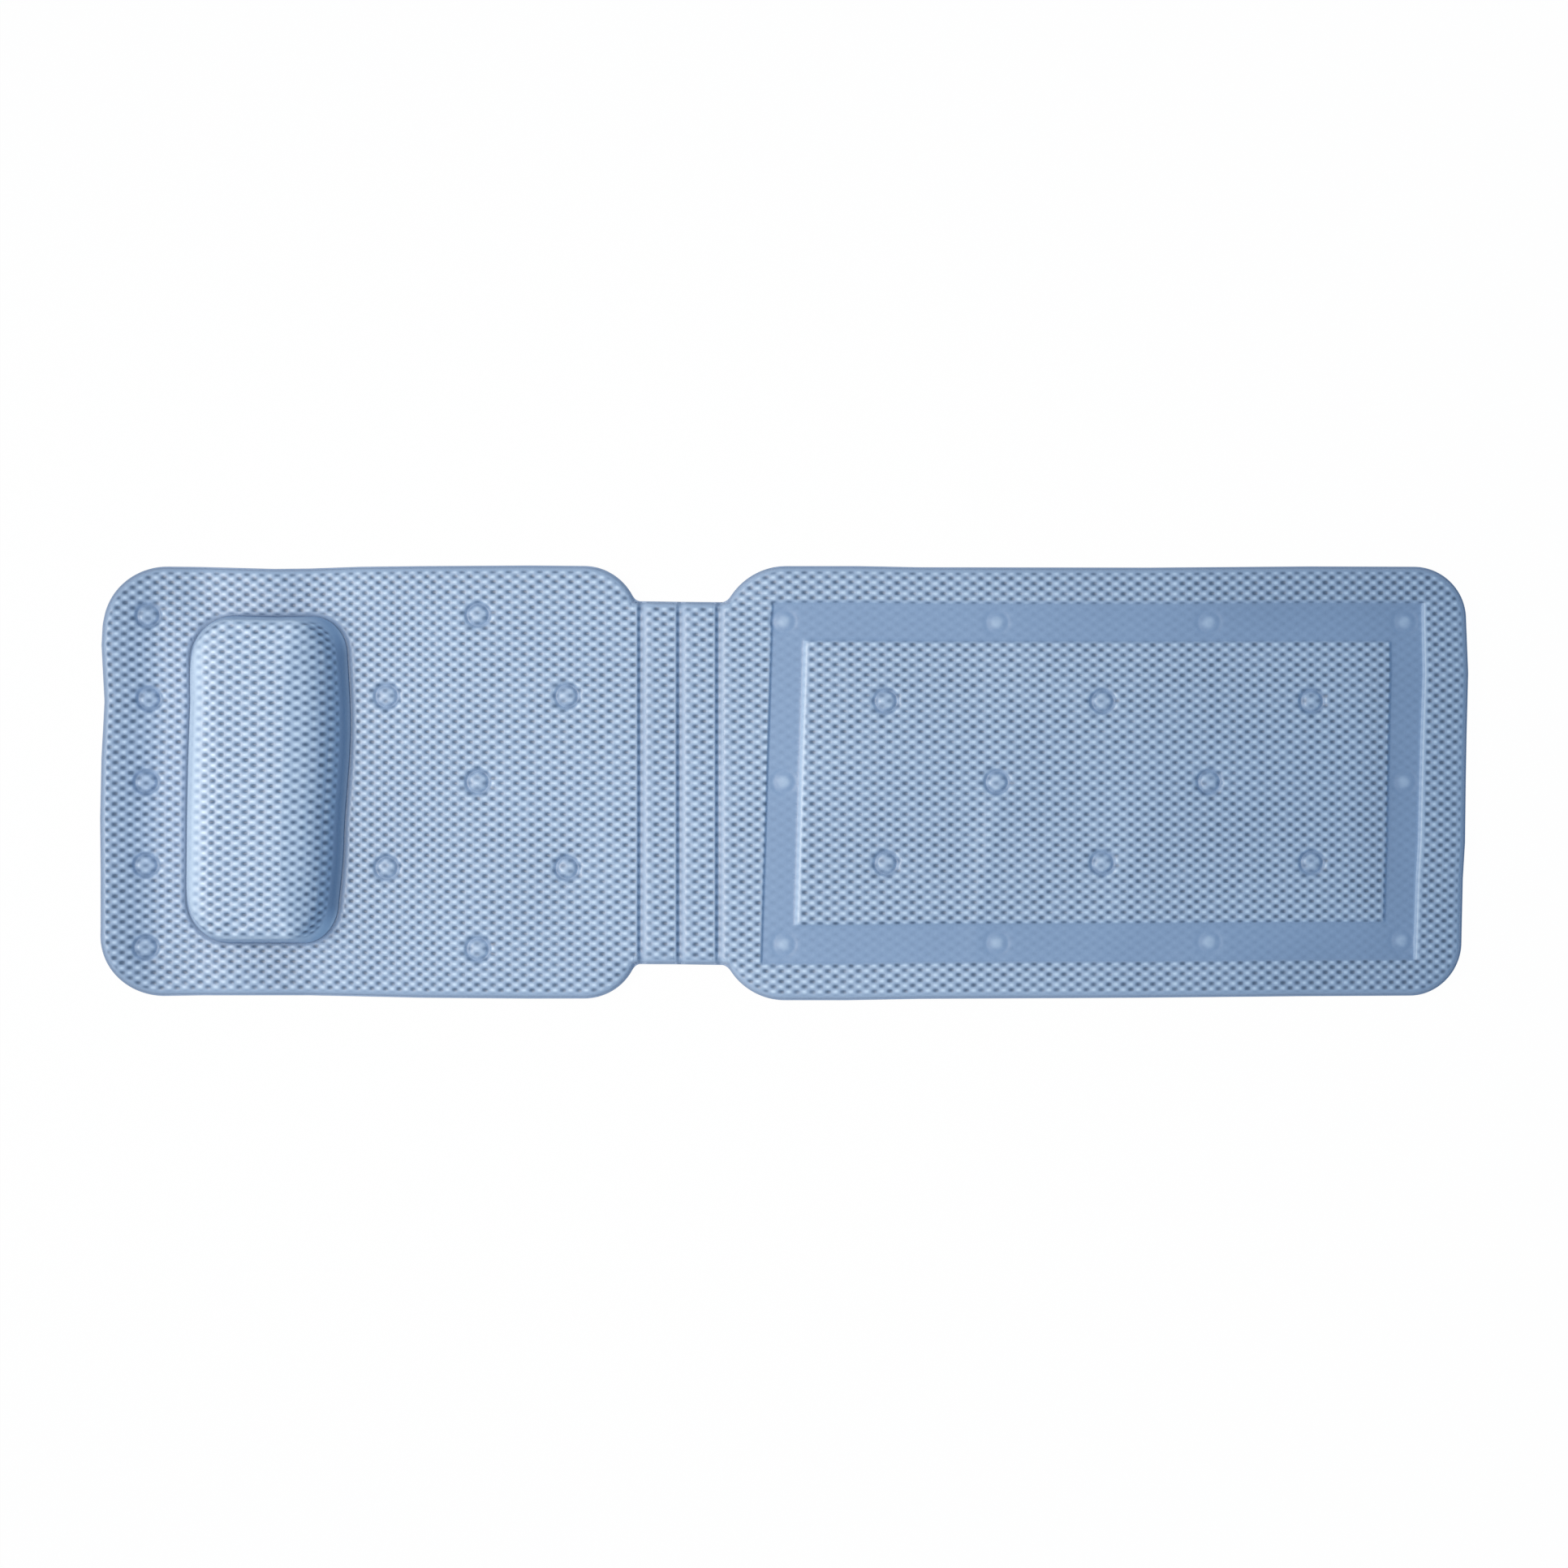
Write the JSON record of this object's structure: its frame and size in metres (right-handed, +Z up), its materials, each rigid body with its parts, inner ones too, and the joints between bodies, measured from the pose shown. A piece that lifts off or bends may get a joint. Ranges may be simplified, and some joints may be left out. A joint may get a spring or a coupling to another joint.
{
  "type": "bath pillow",
  "caption": "Full-length cushioned bathtub mat with a raised head pillow, a folding neck and a recessed seat panel, held down by suction cups.",
  "frame": {"origin": "the middle of the mat's length and width, on the plane of the suction cup rims", "axes": "+X from the head end to the foot end, +Y across the mat to the user's left, +Z up, away from the tub"},
  "size_m": [1.12, 0.355, 0.0683],
  "materials": {
    "embossed_vinyl": "satin",
    "smooth_vinyl": "satin",
    "clear_vinyl": "gloss",
    "foam_fill": "matte"
  },
  "bodies": {
    "seat_section": {"seat_top_sheet": "embossed_vinyl", "seat_foam": "foam_fill", "seat_base_sheet": "smooth_vinyl", "fold_weld_3": "smooth_vinyl", "seat_suction_cup_1": "clear_vinyl", "seat_suction_cup_2": "clear_vinyl", "seat_suction_cup_3": "clear_vinyl", "seat_suction_cup_4": "clear_vinyl", "seat_suction_cup_5": "clear_vinyl", "seat_suction_cup_6": "clear_vinyl", "seat_suction_cup_7": "clear_vinyl", "seat_suction_cup_8": "clear_vinyl", "seat_suction_cup_9": "clear_vinyl", "seat_suction_cup_10": "clear_vinyl", "seat_suction_cup_11": "clear_vinyl", "seat_suction_cup_12": "clear_vinyl", "seat_suction_cup_13": "clear_vinyl", "seat_suction_cup_14": "clear_vinyl", "seat_suction_cup_15": "clear_vinyl", "seat_suction_cup_16": "clear_vinyl", "seat_suction_cup_17": "clear_vinyl", "seat_suction_cup_18": "clear_vinyl"},
    "neck_rib_2": {"neck_rib_2_top_sheet": "embossed_vinyl", "neck_rib_2_foam": "foam_fill", "neck_rib_2_base_sheet": "smooth_vinyl", "fold_weld_2": "smooth_vinyl"},
    "neck_rib_1": {"neck_rib_1_top_sheet": "embossed_vinyl", "neck_rib_1_foam": "foam_fill", "neck_rib_1_base_sheet": "smooth_vinyl", "fold_weld_1": "smooth_vinyl"},
    "back_section": {"back_top_sheet": "embossed_vinyl", "back_foam": "foam_fill", "back_base_sheet": "smooth_vinyl", "pillow_cover": "embossed_vinyl", "pillow_foam": "foam_fill", "back_suction_cup_1": "clear_vinyl", "back_suction_cup_2": "clear_vinyl", "back_suction_cup_3": "clear_vinyl", "back_suction_cup_4": "clear_vinyl", "back_suction_cup_5": "clear_vinyl", "back_suction_cup_6": "clear_vinyl", "back_suction_cup_7": "clear_vinyl", "back_suction_cup_8": "clear_vinyl", "back_suction_cup_9": "clear_vinyl", "back_suction_cup_10": "clear_vinyl", "back_suction_cup_11": "clear_vinyl", "back_suction_cup_12": "clear_vinyl"}
  },
  "joints": [
    {"name": "fold_3", "type": "hinge", "parent": "seat_section", "child": "neck_rib_2", "pos_m": [-0.0553, 0, 0.01], "axis": [0, 1, 0], "range_deg": [-60, 55]},
    {"name": "fold_2", "type": "hinge", "parent": "neck_rib_2", "child": "neck_rib_1", "pos_m": [-0.0873, 0, 0.01], "axis": [0, 1, 0], "range_deg": [-60, 55]},
    {"name": "fold_1", "type": "hinge", "parent": "neck_rib_1", "child": "back_section", "pos_m": [-0.1193, 0, 0.01], "axis": [0, 1, 0], "range_deg": [-60, 55]}
  ]
}
